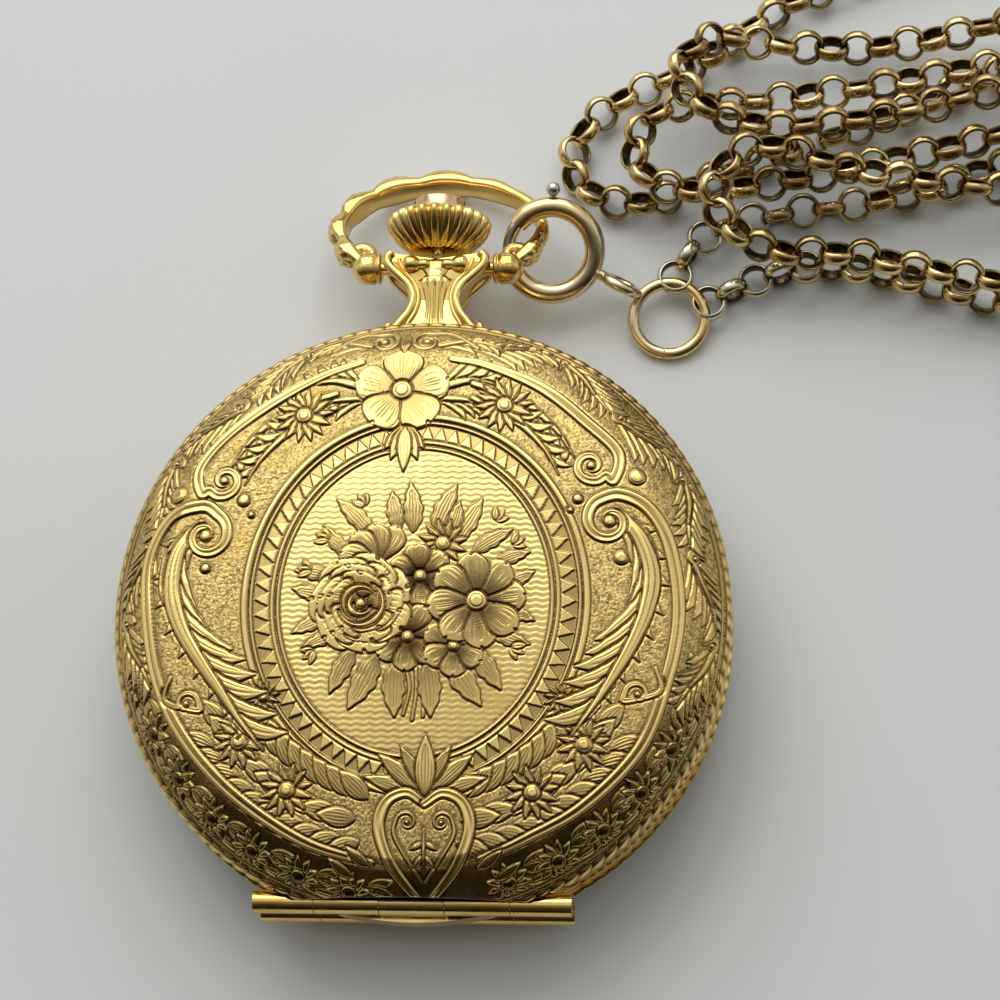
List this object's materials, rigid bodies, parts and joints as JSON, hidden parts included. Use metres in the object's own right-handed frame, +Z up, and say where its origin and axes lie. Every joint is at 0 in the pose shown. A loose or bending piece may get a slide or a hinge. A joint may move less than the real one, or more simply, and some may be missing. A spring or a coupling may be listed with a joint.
{
  "type": "pendant watch",
  "caption": "Round hunter-cased pendant watch with hinged engraved covers, stem winding, a swinging bow and a belcher-link necklace on a spring ring.",
  "frame": {"origin": "centre of the small flat on the back cover that the watch rests on", "axes": "+Z up through the front cover and the dial, +Y from the hinges to the crown, X along the hinges"},
  "size_m": [0.0791, 0.0682, 0.0105],
  "materials": {
    "case_gold": "polished and engraved yellow gold plate",
    "inner_gold": "polished gold plate",
    "rose_gold": "polished rose gold plate",
    "chain_brass": "worn antique brass",
    "clasp_gold": "worn gold plate over silver-grey metal",
    "steel": "polished steel",
    "blued_steel": "blued steel",
    "nickel": "damascened nickel",
    "train_brass": "gilt brass",
    "enamel": "white vitreous enamel",
    "ruby": "polished ruby",
    "crystal_glass": "clear mineral glass"
  },
  "bodies": {
    "case": {"case_band": "case_gold", "front_joint_pin": "case_gold", "back_joint_pin": "case_gold", "lift_spring": "steel", "bezel": "inner_gold", "crystal": "crystal_glass", "dial": "enamel", "main_plate": "nickel", "barrel_bridge": "nickel", "train_bridge": "nickel", "balance_cock": "nickel", "pallet_cock": "nickel", "jewels": "ruby", "bridge_screws": "blued_steel", "wheel_screws": "steel", "minute_post": "steel", "pendant_neck": "case_gold", "bow_pins": "case_gold", "jump_ring": "clasp_gold", "necklace_strand_1": "chain_brass", "necklace_strand_2": "chain_brass", "necklace_strand_3": "chain_brass", "necklace_strand_4": "chain_brass", "necklace_strand_5": "chain_brass", "necklace_strand_6": "chain_brass", "necklace_strand_7": "chain_brass", "necklace_strand_8": "chain_brass"},
    "front_lid": {"front_cover": "case_gold"},
    "back_lid": {"back_cover": "case_gold"},
    "catch": {"lock_spring": "steel"},
    "winding": {"winding_pinion": "steel"},
    "crown_set": {"winding_stem": "steel", "crown": "case_gold", "crown_cap": "rose_gold"},
    "crown_wheel_set": {"crown_wheel": "steel"},
    "ratchet_set": {"ratchet_wheel": "steel", "barrel_arbor": "steel"},
    "click_set": {"click": "steel"},
    "centre": {"centre_wheel": "train_brass", "cannon_pinion": "steel", "minute_hand": "blued_steel"},
    "hour": {"hour_wheel": "train_brass", "hour_hand": "blued_steel"},
    "minute_set": {"minute_wheel": "train_brass"},
    "drum": {"barrel": "train_brass", "mainspring": "steel"},
    "third": {"third_wheel": "train_brass"},
    "fourth": {"fourth_wheel": "train_brass", "seconds_hand": "blued_steel"},
    "escape": {"escape_wheel": "train_brass"},
    "pallets": {"pallet_fork": "steel"},
    "balance": {"balance_wheel": "train_brass", "hairspring": "blued_steel"},
    "bow_set": {"bow": "case_gold"},
    "clasp": {"clasp_ring": "clasp_gold"},
    "bolt": {"clasp_bolt": "steel"}
  },
  "joints": [
    {"name": "front_lid_hinge", "type": "hinge", "parent": "case", "child": "front_lid", "pos_m": [0, -0.0164, 0.0062], "axis": [1, 0, 0], "range_deg": [0, 95]},
    {"name": "back_lid_hinge", "type": "hinge", "parent": "case", "child": "back_lid", "pos_m": [0, -0.0164, 0.0032], "axis": [-1, 0, 0], "range_deg": [0, 90]},
    {"name": "catch_flex", "type": "hinge", "parent": "case", "child": "catch", "pos_m": [-0.01077, 0.01135, 0.00512], "axis": [0, 0, 1], "range_deg": [-1.2, 0], "stiffness_Nm_per_rad": 0.01},
    {"name": "winding_turn", "type": "hinge", "parent": "case", "child": "winding", "pos_m": [0, 0, 0.0044], "axis": [0, 1, 0], "continuous": true},
    {"name": "crown_pull", "type": "slide", "parent": "winding", "child": "crown_set", "axis": [0, 1, 0], "range_m": [-0.0002, 0.0007]},
    {"name": "crown_wheel_turn", "type": "hinge", "parent": "case", "child": "crown_wheel_set", "pos_m": [0, 0.0092, 0], "axis": [0, 0, 1], "continuous": true},
    {"name": "ratchet_turn", "type": "hinge", "parent": "case", "child": "ratchet_set", "pos_m": [0.00318, 0.00379, 0], "axis": [0, 0, 1], "continuous": true},
    {"name": "click_swing", "type": "hinge", "parent": "case", "child": "click_set", "pos_m": [0.00835, 0.00175, 0], "axis": [0, 0, 1], "range_deg": [0, 6]},
    {"name": "centre_turn", "type": "hinge", "parent": "case", "child": "centre", "pos_m": [0, 0, 0], "axis": [0, 0, 1], "continuous": true},
    {"name": "hour_turn", "type": "hinge", "parent": "case", "child": "hour", "pos_m": [0, 0, 0], "axis": [0, 0, 1], "continuous": true},
    {"name": "minute_wheel_turn", "type": "hinge", "parent": "case", "child": "minute_set", "pos_m": [-0.0019, 0.00159, 0], "axis": [0, 0, 1], "continuous": true},
    {"name": "barrel_turn", "type": "hinge", "parent": "case", "child": "drum", "pos_m": [0.00318, 0.00379, 0], "axis": [0, 0, 1], "continuous": true},
    {"name": "third_turn", "type": "hinge", "parent": "case", "child": "third", "pos_m": [0.00312, -0.00385, 0], "axis": [0, 0, 1], "continuous": true},
    {"name": "fourth_turn", "type": "hinge", "parent": "case", "child": "fourth", "pos_m": [0, -0.0063, 0], "axis": [0, 0, 1], "continuous": true},
    {"name": "escape_turn", "type": "hinge", "parent": "case", "child": "escape", "pos_m": [-0.00362, -0.00762, 0], "axis": [0, 0, 1], "continuous": true},
    {"name": "pallet_swing", "type": "hinge", "parent": "case", "child": "pallets", "pos_m": [-0.00522, -0.00538, 0], "axis": [0, 0, 1], "range_deg": [-4, 4]},
    {"name": "balance_swing", "type": "hinge", "parent": "case", "child": "balance", "pos_m": [-0.0082, -0.0012, 0], "axis": [0, 0, 1], "range_deg": [-28, 28]},
    {"name": "bow_swing", "type": "hinge", "parent": "case", "child": "bow_set", "pos_m": [0, 0.022, 0.0044], "axis": [1, 0, 0], "range_deg": [0, 8]},
    {"name": "clasp_lift", "type": "hinge", "parent": "case", "child": "clasp", "pos_m": [0.01086, 0.02169, 0.00227], "axis": [0.4164, 0.9092, 0], "range_deg": [0, 4]},
    {"name": "bolt_slide", "type": "hinge", "parent": "clasp", "child": "bolt", "pos_m": [0.0067, 0.0236, 0.0032], "axis": [0, -0.4384, 0.8988], "range_deg": [-34, 0], "stiffness_Nm_per_rad": 0.001}
  ],
  "couplings": [
    {"joint": "crown_wheel_turn", "follows": "winding_turn", "ratio": 0.55556},
    {"joint": "ratchet_turn", "follows": "winding_turn", "ratio": -0.37037},
    {"joint": "third_turn", "follows": "centre_turn", "ratio": -8},
    {"joint": "fourth_turn", "follows": "centre_turn", "ratio": 60},
    {"joint": "escape_turn", "follows": "centre_turn", "ratio": -600},
    {"joint": "barrel_turn", "follows": "centre_turn", "ratio": -0.125},
    {"joint": "minute_wheel_turn", "follows": "centre_turn", "ratio": -0.33333},
    {"joint": "hour_turn", "follows": "centre_turn", "ratio": 0.083333},
    {"joint": "pallet_swing", "follows": "balance_swing", "ratio": -0.12734},
    {"joint": "clasp_lift", "follows": "bow_swing", "ratio": 0.45}
  ]
}
